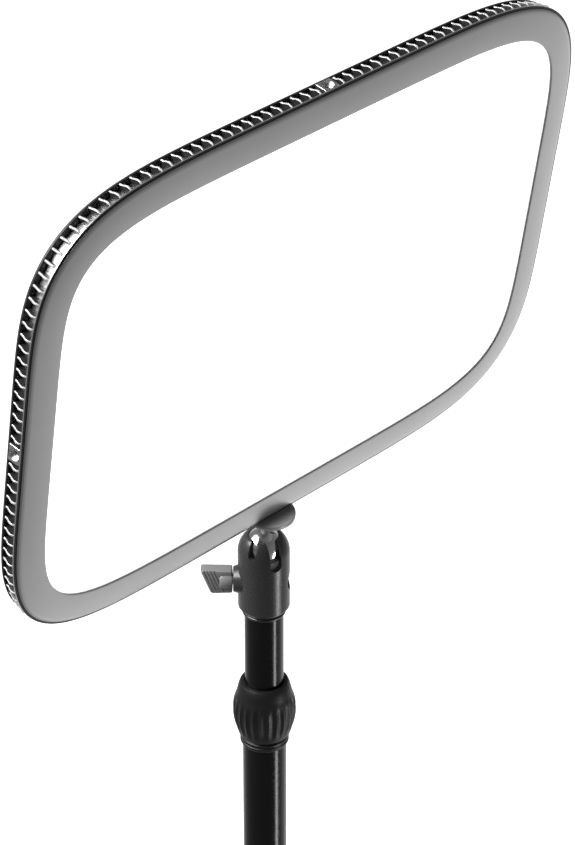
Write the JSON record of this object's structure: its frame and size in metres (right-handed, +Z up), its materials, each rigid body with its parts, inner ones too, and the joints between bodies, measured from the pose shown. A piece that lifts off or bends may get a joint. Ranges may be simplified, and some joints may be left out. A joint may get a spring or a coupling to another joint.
{
  "type": "led panel light",
  "caption": "Rectangular soft-cornered edge-lit panel light on a ball head and a telescopic pole with a desk clamp.",
  "frame": {"origin": "on the desk, under the pole's axis, on the lower face of the clamp's desk pad", "axes": "+Z up along the pole, the light faces -Y, +X to the right of someone facing the light"},
  "size_m": [0.398, 0.0881, 1.0061],
  "materials": {
    "satin_bezel": "satin paint",
    "diffuser": "opal, lit",
    "acrylic": "clear",
    "white_sheet": "matte",
    "bare_aluminium": "brushed",
    "black_vent": "satin",
    "black_shell": "fine texture",
    "pod_plastic": "fine texture",
    "led_board": "matte",
    "threaded_metal": "machined",
    "screw_steel": "black oxide",
    "board_green": "solder mask",
    "display_black": "gloss",
    "inlet_black": "satin",
    "encoder_metal": "satin",
    "dial_grey": "satin",
    "button_grey": "satin",
    "rocker_black": "gloss",
    "bright_chrome": "polished",
    "disc_grey": "satin anodised",
    "head_grey": "satin anodised",
    "knob_grey": "satin",
    "tube_black": "gloss black",
    "collar_black": "satin",
    "bush_plastic": "matte",
    "clamp_black": "satin powder coat",
    "plate_grey": "satin",
    "clamp_knob_black": "satin",
    "black_rubber": "matte"
  },
  "bodies": {
    "base": {"clamp_bracket": "clamp_black", "desk_pad": "black_rubber", "pole_socket": "clamp_black", "set_screw": "threaded_metal", "pole_bolt": "threaded_metal", "pole_foot_plug": "bare_aluminium", "lower_tube": "tube_black", "collet": "white_sheet", "collar_ferrule": "collar_black"},
    "collar": {"twist_collar": "collar_black"},
    "inner_pole": {"upper_tube": "tube_black", "tube_top_plug": "bare_aluminium", "base_stud": "threaded_metal", "guide_bush": "bush_plastic", "head_lip_ring": "bright_chrome"},
    "head": {"head_body": "head_grey", "ball_seat": "white_sheet", "wedge_pin": "threaded_metal"},
    "knob": {"lock_knob": "knob_grey", "lock_screw": "threaded_metal"},
    "stem": {"ball_stud": "bright_chrome", "platform_disc": "disc_grey", "panel_stud": "threaded_metal"},
    "panel": {"front_bezel": "satin_bezel", "diffuser_sheet": "diffuser", "light_guide_plate": "acrylic", "reflector_sheet": "white_sheet", "back_pan": "bare_aluminium", "light_frame": "bare_aluminium", "vent_rim": "black_vent", "rear_shell": "black_shell", "control_pod": "pod_plastic", "driver_board": "board_green", "display_window": "display_black", "dc_inlet": "inlet_black", "brightness_encoder": "encoder_metal", "colour_encoder": "encoder_metal", "led_strip_top": "led_board", "led_strip_bottom": "led_board", "led_strip_left": "led_board", "led_strip_right": "led_board", "socket_block_top": "threaded_metal", "socket_block_bottom": "threaded_metal", "socket_block_left": "threaded_metal", "socket_block_right": "threaded_metal", "rear_screw_1": "screw_steel", "rear_screw_2": "screw_steel", "rear_screw_3": "screw_steel", "rear_screw_4": "screw_steel", "rear_screw_5": "screw_steel", "rear_screw_6": "screw_steel"},
    "brightness_control": {"brightness_dial": "dial_grey"},
    "colour_control": {"colour_dial": "dial_grey"},
    "mode_control": {"mode_button": "button_grey"},
    "power_control": {"power_rocker": "rocker_black"},
    "clamp_plate": {"pressure_plate": "plate_grey", "pressure_pad": "black_rubber"},
    "clamp_spindle": {"clamp_screw": "threaded_metal", "clamp_knob": "clamp_knob_black"}
  },
  "joints": [
    {"name": "twist_lock", "type": "hinge", "parent": "base", "child": "collar", "pos_m": [0, 0, 0.43], "axis": [0, 0, 1], "range_deg": [0, 120]},
    {"name": "pole_height", "type": "slide", "parent": "base", "child": "inner_pole", "axis": [0, 0, 1], "range_m": [-0.04, 0.28]},
    {"name": "head_pan", "type": "hinge", "parent": "inner_pole", "child": "head", "pos_m": [0, 0, 0.5], "axis": [0, 0, 1], "range_deg": [-180, 180]},
    {"name": "ball_tilt", "type": "hinge", "parent": "head", "child": "stem", "pos_m": [0, 0, 0.54], "axis": [0.9553, -0.2921, -0.045], "range_deg": [-32, 80]},
    {"name": "panel_spin", "type": "hinge", "parent": "stem", "child": "panel", "pos_m": [0, 0, 0.54], "axis": [0, -0.1521, 0.9884], "range_deg": [-180, 180]},
    {"name": "lock_turn", "type": "hinge", "parent": "head", "child": "knob", "pos_m": [0, 0, 0.518], "axis": [-0.6909, 0.723, 0], "range_deg": [-180, 180]},
    {"name": "brightness_turn", "type": "hinge", "parent": "panel", "child": "brightness_control", "pos_m": [-0.052, 0.00458, 0.6864], "axis": [0, 0.9884, 0.1521], "continuous": true},
    {"name": "colour_turn", "type": "hinge", "parent": "panel", "child": "colour_control", "pos_m": [0.052, 0.00458, 0.6864], "axis": [0, 0.9884, 0.1521], "continuous": true},
    {"name": "mode_press", "type": "slide", "parent": "panel", "child": "mode_control", "axis": [0, -0.9884, -0.1521], "range_m": [0, 0.0012], "stiffness_N_per_m": 400, "springref_m": -0.0004},
    {"name": "power_rock", "type": "hinge", "parent": "panel", "child": "power_control", "pos_m": [0.014, 0.00702, 0.66856], "axis": [0, -0.1521, 0.9884], "range_deg": [-8, 8]},
    {"name": "plate_slide", "type": "slide", "parent": "base", "child": "clamp_plate", "axis": [0, 0, 1], "range_m": [-0.0321, 0.0361]},
    {"name": "screw_turn", "type": "hinge", "parent": "clamp_plate", "child": "clamp_spindle", "pos_m": [0, -0.012, -0.1], "axis": [0, 0, 1], "range_deg": [-5760, 6480]}
  ],
  "couplings": [
    {"joint": "plate_slide", "follows": "screw_turn", "m_per_rad": 0.00031831}
  ]
}
